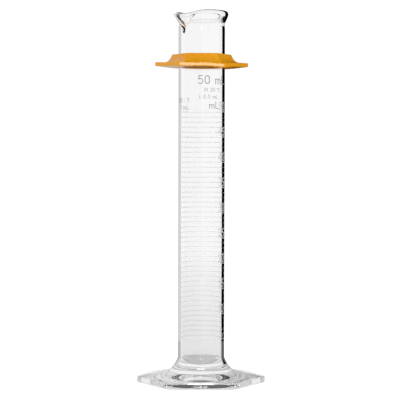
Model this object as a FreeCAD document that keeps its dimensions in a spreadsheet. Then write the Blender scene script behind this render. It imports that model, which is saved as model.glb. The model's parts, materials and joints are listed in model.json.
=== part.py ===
import FreeCAD, Part
import math
import os
import Sketcher

# A 50 mL graduated cylinder: a glass tube on a hexagonal pressed foot, a plastic bumper guard that
# slides on the tube, and the enamel print.  Millimetres, +Z up, origin under the middle of the foot.
# A flat side of the foot faces -Y.  Azimuths are degrees about +Z, from -Y towards +X.

SIZES = {
    # tube
    "tube_radius": 12.5,
    "bore_radius": 10.85,
    "overall_height": 200.0,
    "tube_floor": 5.0,
    "dish_floor": 7.8,
    "dish_ring": 13.5,
    "flare_start": 193.6,
    "flare_height": 197.6,
    "flare_radius": 14.3,
    "lip_radius": 12.7,
    "bore_flare_start": 195.0,
    "bore_flare_radius": 12.1,
    # spout
    "spout_azimuth": -47.0,
    "spout_reach": 19.3,
    "spout_tip_radius": 3.2,
    "spout_keel": 188.5,
    "spout_lip": 194.0,
    "spout_wall": 1.6,
    "spout_root_depth": 2.5,
    "dip_start": 9.2,
    "dip_slope": 16.5,
    # foot
    "foot_corner": 35.4,
    "foot_rounding": 5.0,
    "foot_edge": 3.1,
    "foot_shoulder_radius": 17.4,
    "foot_shoulder_height": 7.2,
    "foot_top": 12.8,
    "foot_cove": 8.5,
    "foot_hollow_radius": 25.0,
    "foot_hollow_depth": 0.5,
    # guard
    "guard_bottom": 169.5,
    "guard_corner": 25.3,
    "guard_rounding": 1.6,
    "guard_flange": 1.8,
    "collar_foot": 17.4,
    "collar_top": 16.4,
    "collar_rise": 5.1,
    "collar_rounding": 1.2,
    "guard_bore": 12.6,
    # print
    "print_thickness": 0.04,
    "line_width": 0.3,
    "first_line": 23.9,
    "division": 2.704,
    "short_lines_in_group": 4,
    "long_line_count": 10,
    "numeral_azimuth": 60.0,
    "numeral_gap": 28.0,
    "numeral_size": 4.0,
    "numeral_lift": 0.9,
}

BIG = 60.0  # longer than any cut has to be
FULL_TURN = 360.0
HEXAGON = 6

# Strokes of each printed character in units of its height.  The first number is the width.
# Four numbers are a straight stroke, x0, y0, x1, y1; five are an arc, centre x and y, radius and
# the angles where it starts and ends, turning anticlockwise.
GLYPHS = {
    " ": (0.30,),
    "0": (0.56, (0, 0.28, 0, 0.72), (0.56, 0.28, 0.56, 0.72),
          (0.28, 0.72, 0.28, 0, 180), (0.28, 0.28, 0.28, 180, 360)),
    "1": (0.26, (0.24, 0, 0.24, 1), (0, 0.8, 0.24, 1)),
    "2": (0.56, (0.28, 0.72, 0.28, -40, 170), (0.495, 0.54, 0, 0), (0, 0, 0.56, 0)),
    "3": (0.54, (0.27, 0.77, 0.23, -90, 155), (0.27, 0.27, 0.27, -155, 90)),
    "4": (0.60, (0.44, 0, 0.44, 1), (0.44, 1, 0, 0.32), (0, 0.32, 0.6, 0.32)),
    "5": (0.56, (0.09, 1, 0.5, 1), (0.09, 1, 0.06, 0.55), (0.25, 0.31, 0.31, -145, 128)),
    "m": (0.80, (0, 0, 0, 0.6), (0.2, 0.4, 0.2, 0, 180), (0.4, 0, 0.4, 0.4),
          (0.6, 0.4, 0.2, 0, 180), (0.8, 0, 0.8, 0.4)),
    "L": (0.50, (0, 0, 0, 1), (0, 0, 0.5, 0)),
    "I": (0.10, (0.05, 0, 0.05, 1)),
    "N": (0.56, (0, 0, 0, 1), (0, 1, 0.56, 0), (0.56, 0, 0.56, 1)),
    "C": (0.54, (0, 0.28, 0, 0.72), (0.28, 0.72, 0.28, 25, 180), (0.28, 0.28, 0.28, 180, 335)),
    "°": (0.30, (0.15, 0.86, 0.13, 0, 180), (0.15, 0.86, 0.13, 180, 360)),
    "±": (0.52, (0, 0.08, 0.52, 0.08), (0, 0.6, 0.52, 0.6), (0.26, 0.36, 0.26, 0.84)),
    ".": (0.10, (0.05, 0.02, 0.05, 0.04)),
    ":": (0.10, (0.05, 0.14, 0.05, 0.16), (0.05, 0.60, 0.05, 0.62)),
}

LETTER_GAP = 0.30  # between characters, in units of their height
STROKE = 0.13      # stroke width in the same units

# Inscriptions: name, text, height of the characters, azimuth where the text starts, height of its base.
INSCRIPTIONS = (
    ("capacity_mark", "50 mL", 4.2, -8.0, 160.3),
    ("temperature_mark", "IN 20 °C", 1.8, 7.0, 156.2),
    ("tolerance_mark", "± 0.5 mL", 1.9, -7.0, 152.4),
    ("unit_mark", "mL", 3.4, 20.0, 147.2),
    ("ratio_mark", "50 : 1", 2.3, -72.0, 150.4),
    ("division_mark", "1 mL", 2.3, -62.0, 146.6),
)

doc = FreeCAD.newDocument("graduated_cylinder")
sheet = doc.addObject("Spreadsheet::Sheet", "Sizes")
parts = []


def fill_sheet():
    for row, (alias, number) in enumerate(SIZES.items(), start=1):
        sheet.set(f"A{row}", alias)
        sheet.set(f"B{row}", str(number))
        sheet.setAlias(f"B{row}", alias)
    doc.recompute()


def value(expression):
    """The number that an expression over the sheet's cells gives."""
    result = sheet.evalExpression(expression)
    return float(getattr(result, "Value", result))


# ---------------------------------------------------------------- bodies and sketches


def new_body(label):
    body = doc.addObject("PartDesign::Body", label)
    body.Label = label
    parts.append(body)
    return body


def new_sketch(body, name, role, height="0"):
    """A sketch on one of the body's own origin planes, raised by an expression."""
    sketch = body.newObject("Sketcher::SketchObject", name)
    plane = next(f for f in body.Origin.OriginFeatures if f.Role == role)
    sketch.AttachmentSupport = [(plane, "")]
    sketch.MapMode = "FlatFace"
    sketch.setExpression("AttachmentOffset.Base.z", height)
    return sketch


def feature(body, kind, name, **settings):
    made = body.newObject("PartDesign::" + kind, name)
    for key, setting in settings.items():
        setattr(made, key, setting)
    return made


def pin_point(sketch, geometry, end, x, y):
    """Holds one end of a sketch line where two expressions say."""
    for axis_line, kind, expression in ((-2, "DistanceX", x), (-1, "DistanceY", y)):
        distance = value(expression)
        if abs(distance) < 1e-9:
            sketch.addConstraint(Sketcher.Constraint("PointOnObject", geometry, end, axis_line))
            continue
        number = sketch.addConstraint(Sketcher.Constraint(kind, -1, 1, geometry, end, distance))
        sketch.setExpression(f"Constraints[{number}]", expression)


def arc_through(start, finish, radius):
    """The arc of under half a turn from start to finish that turns left."""
    chord = finish - start
    sagitta_side = math.sqrt(radius**2 - (chord.Length / 2) ** 2)
    normal = FreeCAD.Vector(-chord.y, chord.x, 0).normalize()
    centre = (start + finish) / 2 + normal * sagitta_side
    circle = Part.Circle(centre, FreeCAD.Vector(0, 0, 1), radius)
    return Part.ArcOfCircle(circle, circle.parameter(start), circle.parameter(finish))


def outline(sketch, corners):
    """A closed outline.  Each corner is (x, y), or (x, y, radius) where an arc leaves it; "-radius"
    arcs turn right.  All are expressions over the sheet."""
    points = [FreeCAD.Vector(value(c[0]), value(c[1]), 0) for c in corners]
    ends = []
    for i, corner in enumerate(corners):
        start, finish = points[i], points[(i + 1) % len(points)]
        if len(corner) == 2:
            geometry = sketch.addGeometry(Part.LineSegment(start, finish))
            ends.append((geometry, 1, 2))
            continue
        right = corner[2].startswith("-")
        radius = corner[2].lstrip("-")
        if right:
            start, finish = finish, start
        geometry = sketch.addGeometry(arc_through(start, finish, value(radius)))
        number = sketch.addConstraint(Sketcher.Constraint("Radius", geometry, value(radius)))
        sketch.setExpression(f"Constraints[{number}]", radius)
        ends.append((geometry, 2, 1) if right else (geometry, 1, 2))
    for i, corner in enumerate(corners):
        geometry, first, _ = ends[i]
        before, _, last = ends[i - 1]
        sketch.addConstraint(Sketcher.Constraint("Coincident", before, last, geometry, first))
        pin_point(sketch, geometry, first, corner[0], corner[1])


def hexagon(sketch, corner_radius):
    """A regular hexagon with corners on the sketch's x axis."""
    step = FULL_TURN / HEXAGON
    corners = []
    for i in range(HEXAGON):
        x = f"{corner_radius} * {math.cos(math.radians(i * step)):.12f}"
        y = f"{corner_radius} * {math.sin(math.radians(i * step)):.12f}"
        corners.append((x, y))
    outline(sketch, corners)


def rising_edges(shape):
    """Names of the straight edges that aren't level."""
    return [
        f"Edge{i}"
        for i, edge in enumerate(shape.Edges, start=1)
        if len(edge.Vertexes) == 2 and abs(edge.Vertexes[0].Z - edge.Vertexes[1].Z) > 1e-6
    ]


def checked(body, made, adds):
    """Recomputes and stops unless the feature added or took away material."""
    doc.recompute()
    before = made.BaseFeature.Shape.Volume if made.BaseFeature else 0.0
    change = made.Shape.Volume - before
    if (change > 0) != adds or abs(change) < 1e-3:
        raise RuntimeError(f"{body.Label} {made.Name}: volume changed by {change:.4f}")
    return made


def turned(body, name, corners, adds=True):
    """A revolution or groove of a radius-height outline about the body's Z axis."""
    sketch = new_sketch(body, name + "_outline", "XZ_Plane")
    outline(sketch, corners)
    kind = "Revolution" if adds else "Groove"
    made = feature(body, kind, name, Profile=sketch, ReferenceAxis=(sketch, ["V_Axis"]), Angle=FULL_TURN)
    return checked(body, made, adds)


# ---------------------------------------------------------------- glass


def wedge(sketch, scale, reach, tip_radius, rim_radius):
    """The spout in plan: a round tip with two sides that run back to touch the rim's circle."""
    centre = f"({reach} - {tip_radius})"
    spread = f"acos(({rim_radius} - {tip_radius}) / {centre})"
    rim_x = f"{scale} * {rim_radius} * cos({spread})"
    rim_y = f"{scale} * {rim_radius} * sin({spread})"
    tip_x = f"{scale} * ({centre} + {tip_radius} * cos({spread}))"
    tip_y = f"{scale} * {tip_radius} * sin({spread})"
    outline(sketch, [
        ("0", "0"),
        (rim_x, "-1 * " + rim_y),
        (tip_x, "-1 * " + tip_y, f"{scale} * {tip_radius}"),
        (tip_x, tip_y),
        (rim_x, rim_y),
    ])


def spout_shell(body, name, inset, adds):
    """The outside of the spout (inset 0, added) or its channel (inset by the wall, cut)."""
    reach = f"(Sizes.spout_reach - {inset})"
    tip_radius = f"(Sizes.spout_tip_radius - {inset})"
    rim_radius = f"(Sizes.flare_radius - {inset})"
    run = "(Sizes.spout_reach - Sizes.tube_radius)"
    rise = "(Sizes.spout_lip - Sizes.spout_keel)"
    lift = f"({inset} * sqrt({run}^2 + {rise}^2) / {run})"
    root_depth = "Sizes.spout_root_depth"
    low = f"Sizes.spout_keel + {lift} - {root_depth}"
    high = f"Sizes.spout_keel + {lift} + ({reach} - Sizes.tube_radius) * {rise} / {run}"
    small = f"((Sizes.tube_radius - {root_depth} * {run} / {rise}) / {reach})"
    root = new_sketch(body, name + "_root", "XY_Plane", low)
    wedge(root, small, reach, tip_radius, rim_radius)
    top = new_sketch(body, name + "_top", "XY_Plane", high)
    wedge(top, "1", reach, tip_radius, rim_radius)
    kind = "AdditiveLoft" if adds else "SubtractiveLoft"
    checked(body, feature(body, kind, name + "_loft", Profile=root, Sections=[top], Ruled=True), adds)
    upper = new_sketch(body, name + "_upper", "XY_Plane", high)
    wedge(upper, "1", reach, tip_radius, rim_radius)
    kind = "Pad" if adds else "Pocket"
    made = feature(body, kind, name + "_upright", Profile=upper, Reversed=not adds)
    made.setExpression("Length", f"Sizes.overall_height - ({high})")
    checked(body, made, adds)


def glass_tube():
    """Drawn tube with a dished bottom, a flared rim and a spout, made with its spout along +X."""
    body = new_body("glass_tube")
    top = "Sizes.overall_height"
    bead = "(Sizes.flare_radius - Sizes.tube_radius)"
    bead_rise = "(Sizes.flare_height - Sizes.flare_start)"
    lip = "(Sizes.flare_radius - Sizes.lip_radius)"
    lip_rise = "(Sizes.overall_height - Sizes.flare_height)"
    turned(body, "outside", [
        ("0", "Sizes.tube_floor"),
        ("Sizes.tube_radius", "Sizes.tube_floor"),
        ("Sizes.tube_radius", "Sizes.flare_start", f"({bead}^2 + {bead_rise}^2) / (2 * {bead})"),
        ("Sizes.flare_radius", "Sizes.flare_height", f"({lip}^2 + {lip_rise}^2) / (2 * {lip})"),
        ("Sizes.lip_radius", top),
        ("0", top),
    ])
    spout_shell(body, "spout", "0", True)
    dish = "(Sizes.dish_ring - Sizes.dish_floor)"
    turned(body, "bore", [
        ("0", "Sizes.dish_floor", f"(Sizes.bore_radius^2 + {dish}^2) / (2 * {dish})"),
        ("Sizes.bore_radius", "Sizes.dish_ring"),
        ("Sizes.bore_radius", "Sizes.bore_flare_start"),
        ("Sizes.bore_flare_radius", top),
        ("0", top),
    ], adds=False)
    spout_shell(body, "channel", "Sizes.spout_wall", False)
    far = "(2 * Sizes.spout_reach)"
    dip = new_sketch(body, "dip_outline", "XZ_Plane")
    outline(dip, [
        ("Sizes.dip_start", top),
        (far, f"{top} - ({far} - Sizes.dip_start) * tan(Sizes.dip_slope)"),
        (far, top + " + 1"),
        ("Sizes.dip_start", top + " + 1"),
    ])
    checked(body, feature(body, "Pocket", "dip", Profile=dip, Length=BIG, Midplane=True), False)
    body.setExpression("Placement.Rotation.Angle", "Sizes.spout_azimuth - 90")


def hex_foot():
    """Pressed hexagonal foot with a cove up to the tube, a socket for it and a hollow underside."""
    body = new_body("hex_foot")
    plan = new_sketch(body, "plan", "XY_Plane")
    hexagon(plan, "Sizes.foot_corner")
    block = feature(body, "Pad", "block", Profile=plan)
    block.setExpression("Length", "Sizes.foot_top")
    checked(body, block, True)
    rounded = feature(body, "Fillet", "corners", Base=(block, rising_edges(block.Shape)))
    rounded.setExpression("Radius", "Sizes.foot_rounding")
    checked(body, rounded, False)
    turned(body, "slope", [
        ("Sizes.foot_corner", "Sizes.foot_edge"),
        ("Sizes.foot_corner + 1", "Sizes.foot_edge"),
        ("Sizes.foot_corner + 1", "Sizes.foot_top"),
        ("Sizes.tube_radius", "Sizes.foot_top", "Sizes.foot_cove"),
        ("Sizes.foot_shoulder_radius", "Sizes.foot_shoulder_height"),
    ], adds=False)
    turned(body, "socket", [
        ("0", "Sizes.tube_floor"),
        ("Sizes.tube_radius", "Sizes.tube_floor"),
        ("Sizes.tube_radius", "Sizes.foot_top"),
        ("0", "Sizes.foot_top"),
    ], adds=False)
    hollow = "(Sizes.foot_hollow_radius^2 + Sizes.foot_hollow_depth^2) / (2 * Sizes.foot_hollow_depth)"
    turned(body, "hollow", [
        ("0", "0"),
        ("Sizes.foot_hollow_radius", "0", hollow),
        ("0", "Sizes.foot_hollow_depth"),
    ], adds=False)


# ---------------------------------------------------------------- guard


def bumper_guard():
    """Flexible hexagonal ring: a thin flange with a shorter tapered collar above it."""
    body = new_body("bumper_guard")
    plan = new_sketch(body, "flange_plan", "XY_Plane")
    hexagon(plan, "Sizes.guard_corner")
    flange = feature(body, "Pad", "flange", Profile=plan)
    flange.setExpression("Length", "Sizes.guard_flange")
    checked(body, flange, True)
    tips = feature(body, "Fillet", "flange_corners", Base=(flange, rising_edges(flange.Shape)))
    tips.setExpression("Radius", "Sizes.guard_rounding")
    checked(body, tips, False)
    foot = new_sketch(body, "collar_foot_plan", "XY_Plane", "Sizes.guard_flange")
    hexagon(foot, "Sizes.collar_foot")
    rise = "Sizes.guard_flange + Sizes.collar_rise"
    head = new_sketch(body, "collar_top_plan", "XY_Plane", rise)
    hexagon(head, "Sizes.collar_top")
    collar = feature(body, "AdditiveLoft", "collar", Profile=foot, Sections=[head], Ruled=True)
    checked(body, collar, True)
    level = value("Sizes.guard_flange")
    corners = [
        name
        for name in rising_edges(collar.Shape)
        if collar.Shape.getElement(name).CenterOfMass.z > level
    ]
    soft = feature(body, "Fillet", "collar_corners", Base=(collar, corners))
    soft.setExpression("Radius", "Sizes.collar_rounding")
    checked(body, soft, False)
    turned(body, "guard_hole", [
        ("0", "0"),
        ("Sizes.guard_bore", "0"),
        ("Sizes.guard_bore", rise),
        ("0", rise),
    ], adds=False)
    body.setExpression("Placement.Base.z", "Sizes.guard_bottom")


# ---------------------------------------------------------------- enamel print


def line_body(label, arc):
    """One graduation line at the lowest place it has, as a band on the tube's wall."""
    body = new_body(label)
    plan = new_sketch(body, label + "_plan", "XZ_Plane")
    outline(plan, [
        ("Sizes.tube_radius", "0"),
        ("Sizes.tube_radius + Sizes.print_thickness", "0"),
        ("Sizes.tube_radius + Sizes.print_thickness", "Sizes.line_width"),
        ("Sizes.tube_radius", "Sizes.line_width"),
    ])
    band = feature(body, "Revolution", label + "_band", Profile=plan, ReferenceAxis=(plan, ["V_Axis"]))
    band.setExpression("Angle", arc)
    return body, checked(body, band, True)


def z_pattern(body, name, length, count):
    """Repeats along the body's Z axis."""
    z_axis = next(f for f in body.Origin.OriginFeatures if f.Role == "Z_Axis")
    pattern = feature(body, "LinearPattern", name, Direction=(z_axis, [""]))
    pattern.setExpression("Length", length)
    pattern.setExpression("Occurrences", count)
    return pattern


def long_lines():
    """A full ring at every fifth division."""
    body, band = line_body("long_lines", str(FULL_TURN))
    pitch = "(Sizes.short_lines_in_group + 1) * Sizes.division"
    rings = z_pattern(body, "rings", f"(Sizes.long_line_count - 1) * {pitch}", "Sizes.long_line_count")
    rings.Originals = [band]
    body.Tip = rings
    body.setExpression("Placement.Base.z", "Sizes.first_line - Sizes.line_width / 2")


def short_lines():
    """Four lines between each two long ones, broken where the numerals stand."""
    body, band = line_body("short_lines", f"{FULL_TURN} - Sizes.numeral_gap")
    pitch = "(Sizes.short_lines_in_group + 1) * Sizes.division"
    repeats = body.newObject("PartDesign::MultiTransform", "all_short_lines")
    repeats.Originals = [band]
    repeats.Transformations = [
        z_pattern(body, "group", "(Sizes.short_lines_in_group - 1) * Sizes.division",
                  "Sizes.short_lines_in_group"),
        z_pattern(body, "groups", f"(Sizes.long_line_count - 2) * {pitch}", "Sizes.long_line_count - 1"),
    ]
    body.Tip = repeats
    body.setExpression("Placement.Base.z", "Sizes.first_line + Sizes.division - Sizes.line_width / 2")
    body.setExpression("Placement.Rotation.Angle", "Sizes.numeral_azimuth + Sizes.numeral_gap / 2 - 90")


def stroke_face(stroke, size, width):
    """One stroke as a flat face in the XZ plane."""
    if len(stroke) == 4:
        start = FreeCAD.Vector(stroke[0] * size, 0, stroke[1] * size)
        finish = FreeCAD.Vector(stroke[2] * size, 0, stroke[3] * size)
        along = (finish - start).normalize() * (width / 2)
        across = FreeCAD.Vector(-along.z, 0, along.x)
        start -= along
        finish += along
        corners = [start - across, finish - across, finish + across, start + across]
        return Part.Face(Part.makePolygon(corners + corners[:1]))
    x, z, radius, first, last = stroke
    centre = FreeCAD.Vector(x * size, 0, z * size)
    outer = Part.makeCircle(radius * size + width / 2, centre, FreeCAD.Vector(0, -1, 0), first, last)
    inner = Part.makeCircle(radius * size - width / 2, centre, FreeCAD.Vector(0, -1, 0), first, last)
    sides = [
        Part.makeLine(outer.Vertexes[i].Point, inner.Vertexes[i].Point)
        for i in (0, 1)
    ]
    return Part.Face(Part.Wire(Part.__sortEdges__([outer, inner] + sides)))


def printed_character(character, size, skin):
    """The character as a thin solid on the side of the tube that faces -Y."""
    width, *strokes = GLYPHS[character]
    depth = FreeCAD.Vector(0, -2 * value("Sizes.tube_radius"), 0)
    blocks = [stroke_face(stroke, size, STROKE * size).extrude(depth) for stroke in strokes]
    block = blocks[0].multiFuse(blocks[1:]).removeSplitter() if blocks[1:] else blocks[0]
    block.translate(FreeCAD.Vector(-width * size / 2, 0, 0))
    return block.common(skin)


def printed_text(label, text, size, azimuth, base):
    """A line of characters that wraps round the tube from the given azimuth."""
    radius = value("Sizes.tube_radius")
    outer = Part.makeCylinder(radius + value("Sizes.print_thickness"), 2 * size,
                              FreeCAD.Vector(0, 0, -size / 2))
    inner = Part.makeCylinder(radius, 2 * size, FreeCAD.Vector(0, 0, -size / 2))
    skin = outer.cut(inner)
    solids = []
    place = 0.0
    for character in text:
        width = GLYPHS[character][0] * size
        if GLYPHS[character][1:]:
            patch = printed_character(character, size, skin)
            turn = azimuth + math.degrees((place + width / 2) / radius)
            patch.rotate(FreeCAD.Vector(), FreeCAD.Vector(0, 0, 1), turn)
            solids += patch.Solids
        place += width + LETTER_GAP * size
    made = doc.addObject("Part::Feature", label)
    made.Label = label
    made.Shape = Part.makeCompound(solids)
    made.Placement = FreeCAD.Placement(FreeCAD.Vector(0, 0, base), FreeCAD.Rotation())
    parts.append(made)


def text_angle(text, size):
    """How far round the tube a line of text reaches, in degrees."""
    length = sum(GLYPHS[c][0] for c in text) + LETTER_GAP * (len(text) - 1)
    return math.degrees(length * size / value("Sizes.tube_radius"))


def numerals():
    """The volume in millilitres, above the right-hand part of each long line."""
    step = int(value("Sizes.short_lines_in_group")) + 1
    size = value("Sizes.numeral_size")
    for i in range(int(value("Sizes.long_line_count"))):
        text = str((i + 1) * step)
        line = value("Sizes.first_line") + i * step * value("Sizes.division")
        azimuth = value("Sizes.numeral_azimuth") - text_angle(text, size) / 2
        printed_text(f"numeral_{int(text):02d}", text, size, azimuth, line + value("Sizes.numeral_lift"))


def inscriptions():
    for label, text, size, azimuth, base in INSCRIPTIONS:
        printed_text(label, text, size, azimuth, base)


# ---------------------------------------------------------------- making and writing


def write_parts():
    """Stops on any failed object or bad shape, then writes one STEP file for each sub-part."""
    doc.recompute()
    for item in doc.Objects:
        if {"Invalid", "Error"} & set(item.State):
            raise RuntimeError(f"{item.Name} is {item.State}")
    for item in parts:
        if item.Shape.isNull() or not item.Shape.isValid() or not item.Shape.Solids:
            raise RuntimeError(f"{item.Label} has no valid solid")
    os.makedirs("parts", exist_ok=True)
    for item in parts:
        item.Shape.exportStep(f"parts/{item.Label}.step")
        print(f"{item.Label}: {len(item.Shape.Solids)} solids, {item.Shape.Volume:.1f} mm3")


fill_sheet()
glass_tube()
hex_foot()
bumper_guard()
long_lines()
short_lines()
numerals()
inscriptions()
write_parts()
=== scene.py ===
"""A glass measuring cylinder with a hexagonal foot and a sliding guard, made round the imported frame."""
import json
import math

import bpy
import numpy as np
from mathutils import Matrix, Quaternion, Vector


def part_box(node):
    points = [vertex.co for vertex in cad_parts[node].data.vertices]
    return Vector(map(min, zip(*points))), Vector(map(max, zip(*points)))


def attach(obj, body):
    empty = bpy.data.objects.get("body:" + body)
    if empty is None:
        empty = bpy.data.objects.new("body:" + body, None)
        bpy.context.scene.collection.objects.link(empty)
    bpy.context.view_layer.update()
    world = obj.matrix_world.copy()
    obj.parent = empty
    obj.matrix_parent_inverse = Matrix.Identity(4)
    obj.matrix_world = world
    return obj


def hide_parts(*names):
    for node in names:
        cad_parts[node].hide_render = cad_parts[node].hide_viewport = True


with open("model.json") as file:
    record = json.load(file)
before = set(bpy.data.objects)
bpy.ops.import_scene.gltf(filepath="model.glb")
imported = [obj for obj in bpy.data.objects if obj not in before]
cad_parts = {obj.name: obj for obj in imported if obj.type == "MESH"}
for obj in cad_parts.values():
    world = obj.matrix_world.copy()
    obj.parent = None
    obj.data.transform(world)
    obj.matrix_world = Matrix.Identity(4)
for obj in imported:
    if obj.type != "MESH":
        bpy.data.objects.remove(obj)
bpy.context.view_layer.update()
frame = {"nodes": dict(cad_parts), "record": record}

MM = 0.001
FACET = math.radians(30)

# Sizes of the glass in millimetres, as in the CAD apart from the finer curves.
BORE = next(m["dims"]["r_mm"] for m in frame["record"]["mounts"] if m["name"] == "measuring_bore")
PRINT_THICKNESS = 0.04
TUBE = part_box("long_lines")[1].x / MM - PRINT_THICKNESS
FOOT_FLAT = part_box("hex_foot")[1].y / MM
FOOT_CORNER = 5.0
FOOT_FILLET = 0.7
HOLLOW_RADIUS = 25.0
HOLLOW_DEPTH = 0.5
DISH_FLOOR = 7.8
DISH_RADIUS = 13.2
DISH_FILLET = 0.6
FOOT_TOP = [(34.6, 3.2), (30.0, 3.62), (22.4, 4.82), (18.5, 6.2)]
FOOT_COVE = [(18.5, 6.2), (16.8, 6.8), (13.6, 9.6), (12.5, 13.6)]
OUTER_WALL = [14.0, 20.0, 180.0]
INNER_WALL = [180.0, 20.0, 16.5]
SPOUT_TURN = math.radians(-47)

# How finely the glass is divided.
GLASS_STEPS = 480
HOLLOW_STEPS = 16
HOLLOW_POWER = 1.5
BASE_SHARES = (0.3, 0.65)
LOWER_EDGE_STEPS = 6
UPPER_EDGE_STEPS = 7
UPPER_EDGE_END = 85
TOP_SAMPLES = 200
TOP_STEPS = 18
TOP_START = 1.25
COVE_STEPS = 20
DISH_CORNER_STEPS = 8
DISH_STEPS = 24


def bezier(points, steps):
    """Points along a cubic Bezier curve, as rows of (radius, height)."""
    t = np.linspace(0, 1, steps)[:, None]
    a, b, c, d = (np.array(p) for p in points)
    return a * (1 - t) ** 3 + 3 * b * t * (1 - t) ** 2 + 3 * c * t * t * (1 - t) + d * t**3


def arc(centre, radius, start, end, steps):
    """Points round a centre between two angles in degrees, as rows of (radius, height)."""
    rows = []
    for a in np.linspace(start, end, steps):
        turn = math.radians(a)
        rows.append((centre[0] + radius * math.cos(turn), centre[1] + radius * math.sin(turn)))
    return rows


def smooth_line(points, steps):
    """A Catmull-Rom curve through the points, steps rows to each span."""
    p = np.array(points, float)
    p = np.vstack([2 * p[0] - p[1], p, 2 * p[-1] - p[-2]])
    rows = []
    for a, b, c, d in zip(p, p[1:], p[2:], p[3:]):
        for t in np.linspace(0, 1, steps, endpoint=False):
            square = (2 * a - 5 * b + 4 * c - d) * t * t
            cube = (3 * b - a - 3 * c + d) * t**3
            rows.append(0.5 * (2 * b + (c - a) * t + square + cube))
    rows.append(p[-2])
    return np.array(rows)


def hexagon_radius(turn, flat, corner):
    """Distance from the axis to a hexagon with rounded corners. Corners lie on the x axis."""
    step = math.pi / 3
    off = (turn + step / 2) % step - step / 2
    from_flat = abs(off) - FACET
    centre = (flat - corner) / math.cos(FACET)
    reach = math.atan2(corner * math.sin(FACET), centre + corner * math.cos(FACET))
    if abs(off) < reach:
        return centre * math.cos(off) + math.sqrt(corner**2 - (centre * math.sin(off)) ** 2)
    return flat / math.cos(from_flat)


def skin(name, rings):
    """A closed smooth mesh from rings of points in millimetres.

    The first and last rings are single points.
    """
    turns = len(rings[1])
    points = [rings[0][0]]
    for ring in rings[1:-1]:
        points.extend(ring)
    points.append(rings[-1][0])
    faces = []
    last = len(rings) - 3
    for i in range(turns):
        j = (i + 1) % turns
        faces.append((0, 1 + j, 1 + i))
        faces.append((len(points) - 1, 1 + last * turns + i, 1 + last * turns + j))
    for row in range(last):
        low = 1 + row * turns
        high = low + turns
        for i in range(turns):
            j = (i + 1) % turns
            faces.append((low + i, low + j, high + j, high + i))
    return solid(name, points, faces)


def band(name, rings):
    """A closed smooth ring from rings of points in millimetres. The last ring joins the first."""
    turns = len(rings[0])
    points = [p for ring in rings for p in ring]
    faces = []
    for row in range(len(rings)):
        low = row * turns
        high = (row + 1) % len(rings) * turns
        for i in range(turns):
            j = (i + 1) % turns
            faces.append((low + i, low + j, high + j, high + i))
    return solid(name, points, faces)


def solid(name, points, faces):
    """A smooth-shaded mesh object from points in millimetres."""
    mesh = bpy.data.meshes.new(name)
    mesh.from_pydata([[c * MM for c in p] for p in points], [], faces)
    mesh.polygons.foreach_set("use_smooth", [True] * len(mesh.polygons))
    mesh.update()
    made = bpy.data.objects.new(name, mesh)
    bpy.context.scene.collection.objects.link(made)
    return made


# ---------------------------------------------------------------- glass

# Outlines of the plain rim and of the middle of the spout, as (radius, height), in matching points.
RIM = [
    (12.5, 186), (12.5, 190), (12.3, 193.0), (12.62, 193.4), (12.85, 194.0), (13.5, 195.3),
    (14.1, 196.9), (14.3, 197.8), (14.15, 198.7), (13.7, 199.3), (13.1, 199.55), (12.55, 199.35),
    (12.2, 198.7), (11.7, 197.0), (11.3, 194.6), (10.86, 193.2), (10.85, 186),
]
SPOUT = [
    (12.5, 186), (12.55, 187.9), (13.3, 189.3), (14.3, 190.4), (15.3, 191.5), (16.6, 193.2), (17.9, 195.0),
    (18.9, 196.0), (19.3, 196.6), (19.2, 197.0), (18.8, 197.1), (18.4, 196.8), (18.0, 196.1), (16.2, 194.1),
    (14.0, 192.2), (11.9, 190.2), (10.85, 186),
]
# How many degrees to each side each point of the spout reaches, outwards and downwards.
OUT_WIDTH = [18, 18, 20, 23, 26, 30, 33, 36, 36, 36, 36, 35, 34, 31, 28, 25, 20]
DOWN_WIDTH = [20, 20, 22, 27, 32, 40, 50, 60, 66, 66, 66, 66, 62, 50, 38, 28, 22]
OUT_POWER = 4
DOWN_POWER = 3
ROWS_PER_SPAN = 5


def foot_rows(turn):
    """The outside of the foot at one turn, from the middle of its underside to the tube."""
    edge = hexagon_radius(turn, FOOT_FLAT, FOOT_CORNER)
    top = bezier(FOOT_TOP, TOP_SAMPLES)
    inset = edge - FOOT_FILLET
    rows = []
    for share in np.linspace(0, 1, HOLLOW_STEPS)[1:]:
        rows.append((HOLLOW_RADIUS * share, HOLLOW_DEPTH * (1 - share**2) ** HOLLOW_POWER))
    for share in BASE_SHARES:
        rows.append((HOLLOW_RADIUS + (inset - HOLLOW_RADIUS) * share, 0))
    rows.extend(arc((inset, FOOT_FILLET), FOOT_FILLET, -90, 0, LOWER_EDGE_STEPS))
    shoulder = float(np.interp(-inset, -top[:, 0], top[:, 1]))
    rows.extend(arc((inset, shoulder - FOOT_FILLET), FOOT_FILLET, 0, UPPER_EDGE_END, UPPER_EDGE_STEPS))
    start = edge - TOP_START * FOOT_FILLET
    for share in np.linspace(0, 1, TOP_STEPS):
        r = start + (FOOT_TOP[-1][0] - start) * share
        rows.append((r, float(np.interp(-r, -top[:, 0], top[:, 1]))))
    rows.extend(tuple(p) for p in bezier(FOOT_COVE, COVE_STEPS)[1:])
    return rows


def rim_rows(turn):
    """The rim at one turn, from the outer wall over the lip to the bore. It pulls out into the spout."""
    away = abs(math.degrees((turn - SPOUT_TURN + math.pi) % (2 * math.pi) - math.pi))
    rows = []
    for plain, spout, out_width, down_width in zip(RIM_CURVE, SPOUT_CURVE, OUT_CURVE, DOWN_CURVE):
        out = falling(away, out_width, OUT_POWER)
        down = falling(away, down_width, DOWN_POWER)
        rows.append((plain[0] + (spout[0] - plain[0]) * out, plain[1] + (spout[1] - plain[1]) * down))
    return rows


def falling(away, width, power):
    """1 at the middle, falling to 0 at the given width."""
    if away >= width:
        return 0
    return math.cos(math.pi / 2 * away / width) ** power


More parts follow.
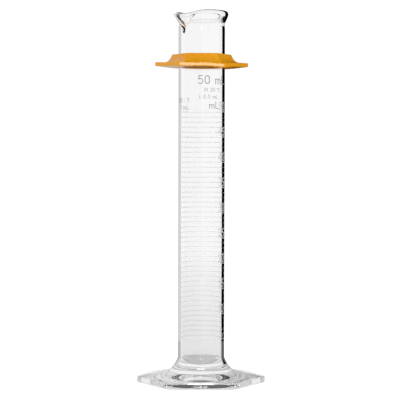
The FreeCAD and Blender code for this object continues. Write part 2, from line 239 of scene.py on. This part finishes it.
def dish_rows():
    """The bottom of the bore, from its wall to the middle."""
    centre = DISH_FLOOR + DISH_RADIUS
    rows = []
    ball = DISH_RADIUS - DISH_FILLET
    r = BORE - DISH_FILLET
    z = centre - math.sqrt(ball**2 - r**2)
    out = math.atan2(r, centre - z)
    for a in np.linspace(0, math.pi / 2 - out, DISH_CORNER_STEPS):
        rows.append((r + DISH_FILLET * math.cos(a), z - DISH_FILLET * math.sin(a)))
    for a in np.linspace(out, 0, DISH_STEPS)[1:]:
        rows.append((DISH_RADIUS * math.sin(a), centre - DISH_RADIUS * math.cos(a)))
    return rows


def place(turn, r, z):
    """A point at that turn from the front, towards the right."""
    return (r * math.sin(turn), -r * math.cos(turn), z)


RIM_CURVE = smooth_line(RIM, ROWS_PER_SPAN)
SPOUT_CURVE = smooth_line(SPOUT, ROWS_PER_SPAN)
OUT_CURVE = smooth_line([(w, 0) for w in OUT_WIDTH], ROWS_PER_SPAN)[:, 0]
DOWN_CURVE = smooth_line([(w, 0) for w in DOWN_WIDTH], ROWS_PER_SPAN)[:, 0]


def glass_vessel():
    """Tube, rim, spout and foot as the one piece of glass that they are."""
    columns = []
    turns = [2 * math.pi * i / GLASS_STEPS for i in range(GLASS_STEPS)]
    dish = dish_rows()
    for turn in turns:
        rows = [(0, HOLLOW_DEPTH)] + foot_rows(turn + math.pi / 2)
        rows += [(TUBE, z) for z in OUTER_WALL]
        rows += rim_rows(turn)
        rows += [(BORE, z) for z in INNER_WALL]
        rows += dish
        columns.append(rows)
    rings = []
    for row in range(len(columns[0])):
        rings.append([place(t, *column[row]) for t, column in zip(turns, columns)])
    made = skin("glass_vessel", rings)
    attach(made, "cylinder")
    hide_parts("glass_tube", "hex_foot")
    return made


# ---------------------------------------------------------------- guard

GUARD_STEPS = 360
GUARD_ROWS_PER_SPAN = 4
GUARD_ROWS = [
    # (corner radius from the axis, height above the guard's underside, corner rounding)
    (22.0, 0.0, 1.5), (24.4, 0.0, 1.5), (25.05, 0.1, 1.6), (25.25, 0.35, 1.6),
    (25.29, 0.6, 1.6), (25.24, 1.2, 1.6), (25.18, 1.75, 1.6), (24.9, 2.05, 1.6), (22.6, 2.25, 2.2),
    (20.6, 2.45, 2.6), (19.2, 2.95, 2.8), (18.1, 3.8, 2.8), (17.3, 4.8, 2.6), (16.8, 5.7, 2.4),
    (16.5, 6.35, 2.4), (16.25, 6.74, 2.4), (15.8, 6.9, 2.6), (15.2, 6.9, 4.0),
]
GUARD_HOLE = [
    (13.0, 6.9), (12.7, 6.8), (12.6, 6.5), (12.6, 3.4), (12.6, 0.4),
    (12.7, 0.1), (13.0, 0.0), (18.0, 0.0),
]
# How far the soft flange stands above or below its true plane, at turns from the front towards the right.
DROOP = [(-180, 0.3), (-130, 1.0), (-90, 0.7), (-60, 0.3), (-30, -0.4), (0, -0.8), (30, -1.2), (60, -0.4),
         (90, 0.25), (130, 0.1), (180, 0.3)]
DROOP_START = 17
DROOP_FULL = 25


def droop(turn, r):
    """How far the flange hangs at that turn and radius."""
    place_on = math.degrees((turn + math.pi) % (2 * math.pi) - math.pi)
    for (a, low), (b, high) in zip(DROOP, DROOP[1:]):
        if a <= place_on <= b:
            share = (1 - math.cos(math.pi * (place_on - a) / (b - a))) / 2
            depth = low + (high - low) * share
    reach = min(1, max(0, (r - DROOP_START) / (DROOP_FULL - DROOP_START)))
    return depth * reach * reach * (3 - 2 * reach)


def bumper_guard():
    """The hexagonal ring: a thin flange that sweeps up into a collar round the tube."""
    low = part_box("bumper_guard")[0].z / MM
    turns = [2 * math.pi * i / GUARD_STEPS for i in range(GUARD_STEPS)]
    rings = []
    for corner, z, rounding in smooth_line(GUARD_ROWS, GUARD_ROWS_PER_SPAN):
        flat = corner * math.cos(FACET)
        ring = []
        for t in turns:
            r = hexagon_radius(t + math.pi / 2, flat, rounding)
            ring.append(place(t, r, low + z + droop(t, r)))
        rings.append(ring)
    for r, z in GUARD_HOLE:
        rings.append([place(t, r, low + z + droop(t, r)) for t in turns])
    made = band("guard_ring", rings)
    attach(made, "guard")
    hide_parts("bumper_guard")
    return made


# ---------------------------------------------------------------- materials


def material(name):
    """A new node material, with its principled shader."""
    made = bpy.data.materials.new(name)
    made.use_nodes = True
    return made, made.node_tree, made.node_tree.nodes["Principled BSDF"]


def node(tree, kind, **inputs):
    """A node with some of its inputs set. A key's underscores stand for spaces."""
    made = tree.nodes.new(kind)
    for key, value in inputs.items():
        made.inputs[key.replace("_", " ")].default_value = value
    return made


def noise(tree, scale, stretch=(1, 1, 1), detail=3):
    """Noise in the object's own frame. Stretch scales the axes."""
    place_in = tree.nodes.new("ShaderNodeTexCoord")
    mapping = node(tree, "ShaderNodeMapping", Scale=stretch)
    made = node(tree, "ShaderNodeTexNoise", Scale=scale, Detail=detail)
    tree.links.new(place_in.outputs["Object"], mapping.inputs["Vector"])
    tree.links.new(mapping.outputs["Vector"], made.inputs["Vector"])
    return made


def spread(tree, source, low, high):
    """Maps a node's value from 0..1 to low..high."""
    made = node(tree, "ShaderNodeMapRange", To_Min=low, To_Max=high)
    tree.links.new(source, made.inputs["Value"])
    return made.outputs["Result"]


def blend_colours(tree, factor, first, second):
    """Two colours mixed by a factor socket."""
    made = tree.nodes.new("ShaderNodeMix")
    made.data_type = "RGBA"
    made.inputs["A"].default_value = (*first, 1)
    made.inputs["B"].default_value = (*second, 1)
    tree.links.new(factor, made.inputs["Factor"])
    return made.outputs["Result"]


def relief(tree, shader, height, strength, distance):
    """Bump from a height socket."""
    made = node(tree, "ShaderNodeBump", Strength=strength, Distance=distance)
    tree.links.new(height, made.inputs["Height"])
    tree.links.new(made.outputs["Normal"], shader.inputs["Normal"])


def clear_glass():
    """Clear glass with faint drawn streaks along the tube."""
    made, tree, shader = material("clear_glass")
    shader.inputs["Transmission Weight"].default_value = 1
    shader.inputs["IOR"].default_value = 1.47
    shader.inputs["Base Color"].default_value = (1, 1, 1, 1)
    streaks = noise(tree, 90, (1, 1, 0.06))
    tree.links.new(spread(tree, streaks.outputs["Fac"], 0.0, 0.012), shader.inputs["Roughness"])
    relief(tree, shader, streaks.outputs["Fac"], 0.02, 0.0002)
    return made


def thick_glass():
    """The foot: the same glass, greyer because there is so much more of it to look through."""
    made = clear_glass()
    made.name = "foot_block_glass"
    shader = made.node_tree.nodes["Principled BSDF"]
    shader.inputs["Base Color"].default_value = (0.91, 0.91, 0.92, 1)
    return made


# Where the wall starts to mirror and where it fully does, from 0 seen face on to 1 seen edge on.
EDGE_START = 0.505
EDGE_FULL = 0.55


def edge_glass():
    """The outside of the tube and rim. Seen nearly edge on, it mirrors the cards that stand round it."""
    made = clear_glass()
    made.name = "tube_wall_glass"
    tree = made.node_tree
    shader = tree.nodes["Principled BSDF"]
    out = tree.nodes["Material Output"]
    facing = node(tree, "ShaderNodeLayerWeight", Blend=0.5)
    edge = node(tree, "ShaderNodeMapRange", From_Min=EDGE_START, From_Max=EDGE_FULL)
    mirror = node(tree, "ShaderNodeBsdfAnisotropic", Color=(0.94, 0.94, 0.95, 1), Roughness=0.03)
    mix = tree.nodes.new("ShaderNodeMixShader")
    tree.links.new(facing.outputs["Facing"], edge.inputs["Value"])
    tree.links.new(edge.outputs["Result"], mix.inputs[0])
    tree.links.new(shader.outputs["BSDF"], mix.inputs[1])
    tree.links.new(mirror.outputs["BSDF"], mix.inputs[2])
    tree.links.new(mix.outputs["Shader"], out.inputs["Surface"])
    return made


def amber_plastic():
    """Translucent amber plastic with a fine moulded grain."""
    made, tree, shader = material("amber_plastic")
    cloud = noise(tree, 120)
    colour = blend_colours(tree, cloud.outputs["Fac"], (0.66, 0.265, 0.004), (0.78, 0.345, 0.008))
    tree.links.new(colour, shader.inputs["Base Color"])
    grain = noise(tree, 900)
    tree.links.new(spread(tree, grain.outputs["Fac"], 0.14, 0.26), shader.inputs["Roughness"])
    shader.inputs["Subsurface Weight"].default_value = 0.2
    shader.inputs["Subsurface Radius"].default_value = (0.003, 0.0015, 0.0004)
    shader.inputs["Subsurface Scale"].default_value = 1
    shader.inputs["Specular IOR Level"].default_value = 0.25
    shader.inputs["IOR"].default_value = 1.5
    relief(tree, shader, grain.outputs["Fac"], 0.12, 0.0001)
    return made


def enamel(name, thin, thick, least, most):
    """Fired print, a little uneven in cover. More of it stands in the way where it is seen edge on."""
    made, tree, shader = material(name)
    cover = noise(tree, 2500)
    facing = node(tree, "ShaderNodeLayerWeight", Blend=0.5)
    through = tree.nodes.new("ShaderNodeMix")
    tree.links.new(facing.outputs["Facing"], through.inputs["Factor"])
    tree.links.new(spread(tree, cover.outputs["Fac"], least * 0.8, least * 1.2), through.inputs["A"])
    through.inputs["B"].default_value = most
    tree.links.new(through.outputs["Result"], shader.inputs["Alpha"])
    colour = blend_colours(tree, cover.outputs["Fac"], thin, thick)
    tree.links.new(colour, shader.inputs["Base Color"])
    tree.links.new(spread(tree, cover.outputs["Fac"], 0.4, 0.6), shader.inputs["Roughness"])
    relief(tree, shader, cover.outputs["Fac"], 0.1, 0.00003)
    return made


def wear(piece, made):
    """Gives the piece that material and no other."""
    piece.data.materials.clear()
    piece.data.materials.append(made)


# ---------------------------------------------------------------- studio


def plain_paper(name, tone):
    """A card's even tone, for every ray that may see the card."""
    made = bpy.data.materials.new(name)
    made.use_nodes = True
    tree = made.node_tree
    tree.nodes.clear()
    out = tree.nodes.new("ShaderNodeOutputMaterial")
    light = node(tree, "ShaderNodeEmission", Color=(1, 1, 1, 1), Strength=tone)
    tree.links.new(light.outputs["Emission"], out.inputs["Surface"])
    return made


def sheet(name, corners, made):
    """A flat panel of the stage."""
    mesh = bpy.data.meshes.new(name)
    mesh.from_pydata(corners, [], [tuple(range(len(corners)))])
    mesh.materials.append(made)
    panel = bpy.data.objects.new(name, mesh)
    bpy.context.scene.collection.objects.link(panel)
    return panel


def unseen(panel):
    """The camera doesn't see the panel, and it throws no shade. Gloss and glass do see it."""
    panel.visible_camera = False
    panel.visible_diffuse = False
    panel.visible_shadow = False
    panel.visible_volume_scatter = False
    panel.visible_glossy = True
    panel.visible_transmission = True


# The floor's glow to gloss and glass is painted shade: darkest at the object, fading out to the far tone by
# FLOOR_REACH.
FLOOR_REACH = 1.2
FLOOR_PAINTED_SHADE_NEAR = 0.5
FLOOR_FAR = 0.69
FLOOR_MATT = 0.28
FLOOR_WHITE = 0.9


def floor_material():
    """White to the camera. To gloss and glass it glows greyer, with painted shade that is darkest close to
    the object.
    """
    made = bpy.data.materials.new("floor_paper")
    made.use_nodes = True
    tree = made.node_tree
    tree.nodes.clear()
    out = tree.nodes.new("ShaderNodeOutputMaterial")
    path = tree.nodes.new("ShaderNodeLightPath")
    place_on = tree.nodes.new("ShaderNodeTexCoord")
    distance = tree.nodes.new("ShaderNodeVectorMath")
    distance.operation = "LENGTH"
    tree.links.new(place_on.outputs["Object"], distance.inputs[0])
    # Painted shade: the glow is darkest close to the object and lightens outwards.
    tone = node(tree, "ShaderNodeMapRange", From_Max=FLOOR_REACH, To_Min=FLOOR_PAINTED_SHADE_NEAR, To_Max=FLOOR_FAR)
    tree.links.new(distance.outputs["Value"], tone.inputs["Value"])
    paper = node(tree, "ShaderNodeBsdfDiffuse", Color=(FLOOR_MATT, FLOOR_MATT, FLOOR_MATT, 1))
    glow = node(tree, "ShaderNodeEmission", Color=(1, 1, 1, 1))
    seen = tree.nodes.new("ShaderNodeMix")
    seen.inputs["B"].default_value = FLOOR_WHITE
    tree.links.new(path.outputs["Is Camera Ray"], seen.inputs["Factor"])
    tree.links.new(tone.outputs["Result"], seen.inputs["A"])
    tree.links.new(seen.outputs["Result"], glow.inputs["Strength"])
    both = tree.nodes.new("ShaderNodeAddShader")
    tree.links.new(paper.outputs["BSDF"], both.inputs[0])
    tree.links.new(glow.outputs["Emission"], both.inputs[1])
    tree.links.new(both.outputs["Shader"], out.inputs["Surface"])
    return made


CEILING_START = 0.6
CEILING_BLEND = 0.08
CEILING_TONE = 0.05
WORLD_LEVEL = 0.95
WORLD_SEEN = 1.05


def world_light():
    """Even soft light. Gloss and glass also see a dark ceiling, which soft shading leaves out."""
    world = bpy.data.worlds.new("studio")
    world.use_nodes = True
    bpy.context.scene.world = world
    tree = world.node_tree
    tree.nodes.clear()
    out = tree.nodes.new("ShaderNodeOutputWorld")
    back = node(tree, "ShaderNodeBackground", Color=(1, 1, 1, 1))
    path = tree.nodes.new("ShaderNodeLightPath")
    direction = tree.nodes.new("ShaderNodeTexCoord")
    parts = tree.nodes.new("ShaderNodeSeparateXYZ")
    tree.links.new(direction.outputs["Generated"], parts.inputs["Vector"])
    ceiling = node(tree, "ShaderNodeMapRange", From_Min=CEILING_START, From_Max=CEILING_START + CEILING_BLEND,
                   To_Min=1.0, To_Max=CEILING_TONE)
    tree.links.new(parts.outputs["Z"], ceiling.inputs["Value"])
    soft = tree.nodes.new("ShaderNodeMix")
    soft.inputs["B"].default_value = 1.0
    tree.links.new(path.outputs["Is Diffuse Ray"], soft.inputs["Factor"])
    tree.links.new(ceiling.outputs["Result"], soft.inputs["A"])
    level = tree.nodes.new("ShaderNodeMath")
    level.operation = "MULTIPLY"
    tree.links.new(soft.outputs["Result"], level.inputs[0])
    tree.links.new(spread(tree, path.outputs["Is Camera Ray"], WORLD_LEVEL, WORLD_SEEN), level.inputs[1])
    tree.links.new(level.outputs["Value"], back.inputs["Strength"])
    tree.links.new(back.outputs["Background"], out.inputs["Surface"])


CAMERA_LEAN = 0.14
CAMERA_LENS = 142
CAMERA_SENSOR = 36
CAMERA_EYE = Vector((-0.0007, -0.85, 0.1197))
CAMERA_TARGET = Vector((-0.0007, 0, 0.0982))


def camera():
    """A long lens, a little above the middle of the object."""
    data = bpy.data.cameras.new("camera")
    data.lens = CAMERA_LENS
    data.sensor_width = CAMERA_SENSOR
    made = bpy.data.objects.new("camera", data)
    bpy.context.scene.collection.objects.link(made)
    made.rotation_mode = "QUATERNION"
    made.location = CAMERA_EYE
    lean = Quaternion((0, 0, 1), math.radians(CAMERA_LEAN))
    made.rotation_quaternion = (CAMERA_TARGET - CAMERA_EYE).to_track_quat("-Z", "Y") @ lean
    bpy.context.scene.camera = made


def card(name, start, end, radius, low, high, made):
    """A curved upright card between two turns from straight behind. The camera doesn't see it."""
    points, faces = [], []
    for i in range(CARD_STEPS + 1):
        a = math.radians(start + (end - start) * i / CARD_STEPS)
        for z in (low, high):
            points.append((radius * math.sin(a), radius * math.cos(a), z))
    for i in range(CARD_STEPS):
        faces.append((2 * i, 2 * i + 2, 2 * i + 3, 2 * i + 1))
    mesh = bpy.data.meshes.new(name)
    mesh.from_pydata(points, [], faces)
    mesh.materials.append(made)
    panel = bpy.data.objects.new(name, mesh)
    bpy.context.scene.collection.objects.link(panel)
    unseen(panel)
    return panel


def card_material(name, tone):
    """A card's tone, seen only by rays that have not gone through glass. To the rest the card is clear."""
    made = bpy.data.materials.new(name)
    made.use_nodes = True
    tree = made.node_tree
    tree.nodes.clear()
    out = tree.nodes.new("ShaderNodeOutputMaterial")
    path = tree.nodes.new("ShaderNodeLightPath")
    once = tree.nodes.new("ShaderNodeMath")
    once.operation = "LESS_THAN"
    once.inputs[1].default_value = CROSSINGS
    tree.links.new(path.outputs["Transmission Depth"], once.inputs[0])
    glow = node(tree, "ShaderNodeEmission", Color=(1, 1, 1, 1), Strength=tone)
    clear = tree.nodes.new("ShaderNodeBsdfTransparent")
    mix = tree.nodes.new("ShaderNodeMixShader")
    tree.links.new(once.outputs["Value"], mix.inputs[0])
    tree.links.new(clear.outputs["BSDF"], mix.inputs[1])
    tree.links.new(glow.outputs["Emission"], mix.inputs[2])
    tree.links.new(mix.outputs["Shader"], out.inputs["Surface"])
    return made


CARD_STEPS = 12
CROSSINGS = 0.5
QUARTER = 90
CARD_RINGS = [
    # (name, radius, lowest and highest edge, tone of the dark quarters, tone of the grey quarters)
    ("tall", 0.14, 0.022, 0.45, 0.0, 0.66),
    ("near", 0.045, 0.018, 0.034, 0.0, 0.66),
    ("low", 0.045, 0.008, 0.018, 0.12, 0.5),
]
RIM_FLAG = {"start": 20, "end": 110, "radius": 0.2, "low": 0.2125, "high": 0.35}
RIM_FLAG_TONE = 0.02


def cards():
    """Rings of dark and grey quarters for the glass edges to mirror, and a dark flag for the rim.

    The flag stands higher than the rim, behind it and to the right.
    """
    for label, radius, low, high, dark, grey in CARD_RINGS:
        for i in range(2):
            half = 2 * QUARTER * i
            for shade, tone, start in (("dark", dark, half), ("grey", grey, half + QUARTER)):
                name = f"{label}_{shade}_{i}"
                paper = card_material(name + "_paper", tone)
                card(name, start, start + QUARTER, radius, low, high, paper)
    card("rim_flag", **RIM_FLAG, made=plain_paper("rim_flag_paper", RIM_FLAG_TONE))


FLOOR_HALF = 4
FLOOR_HEIGHT = -0.0003


def floor():
    """A pale floor just under the foot."""
    signs = ((-1, -1), (1, -1), (1, 1), (-1, 1))
    corners = [(FLOOR_HALF * x, FLOOR_HALF * y, FLOOR_HEIGHT) for x, y in signs]
    sheet("floor", corners, floor_material())


STRIP_SIZE = (0.2, 0.1)
STRIP_ENERGY = 2.0
STRIP_PLACE = Vector((0, -0.85, 0.34))
STRIP_TARGET = Vector((0, 0, 0.17))


def strip_light():
    """A soft strip in front, too high for the upright wall to mirror, for the guard's edge to shine."""
    strip = bpy.data.lights.new("strip_light", "AREA")
    strip.shape = "RECTANGLE"
    strip.size, strip.size_y = STRIP_SIZE
    strip.energy = STRIP_ENERGY
    made = bpy.data.objects.new("strip_light", strip)
    made.location = STRIP_PLACE
    made.rotation_mode = "QUATERNION"
    made.rotation_quaternion = (STRIP_TARGET - STRIP_PLACE).to_track_quat("-Z", "Y")
    bpy.context.scene.collection.objects.link(made)


# ---------------------------------------------------------------- finish

WALL_MARGIN = 0.1
MIRROR_LOW = 10
BLOCK_TOP = 7
WALL_SLOT = 1
BLOCK_SLOT = 2


def dress_vessel(vessel):
    """Mirroring glass on the outer wall and rim, greyer glass low in the foot, clear glass elsewhere."""
    wear(vessel, clear_glass())
    vessel.data.materials.append(edge_glass())
    vessel.data.materials.append(thick_glass())
    for face in vessel.data.polygons:
        middle = face.center
        on_wall = math.hypot(middle.x, middle.y) > (TUBE - WALL_MARGIN) * MM
        if on_wall and middle.z > MIRROR_LOW * MM:
            face.material_index = WALL_SLOT
        elif middle.z < BLOCK_TOP * MM:
            face.material_index = BLOCK_SLOT


def dress_print():
    """Enamel for every printed node. The lines are palest and the inscriptions darkest."""
    lines = enamel("enamel_lines", (0.86, 0.86, 0.86), (0.96, 0.96, 0.96), 0.15, 0.85)
    text = enamel("enamel_text", (0.34, 0.34, 0.35), (0.46, 0.46, 0.47), 0.7, 0.9)
    numerals = enamel("enamel_numerals", (0.62, 0.62, 0.63), (0.74, 0.74, 0.75), 0.35, 0.75)
    for name, piece in frame["nodes"].items():
        if name in ("long_lines", "short_lines"):
            wear(piece, lines)
        elif name.startswith("numeral_"):
            wear(piece, numerals)
        elif name not in ("glass_tube", "hex_foot", "bumper_guard"):
            wear(piece, text)


MAX_BOUNCES = 32
GLOSSY_BOUNCES = 16


def light_paths():
    """Enough bounces for light to get through every wall of the glass, and plain display colours."""
    tracing = bpy.context.scene.cycles
    tracing.max_bounces = MAX_BOUNCES
    tracing.glossy_bounces = GLOSSY_BOUNCES
    tracing.transmission_bounces = MAX_BOUNCES
    bpy.context.scene.view_settings.view_transform = "Standard"


camera()
world_light()
floor()
cards()
strip_light()
dress_vessel(glass_vessel())
wear(bumper_guard(), amber_plastic())
dress_print()
light_paths()
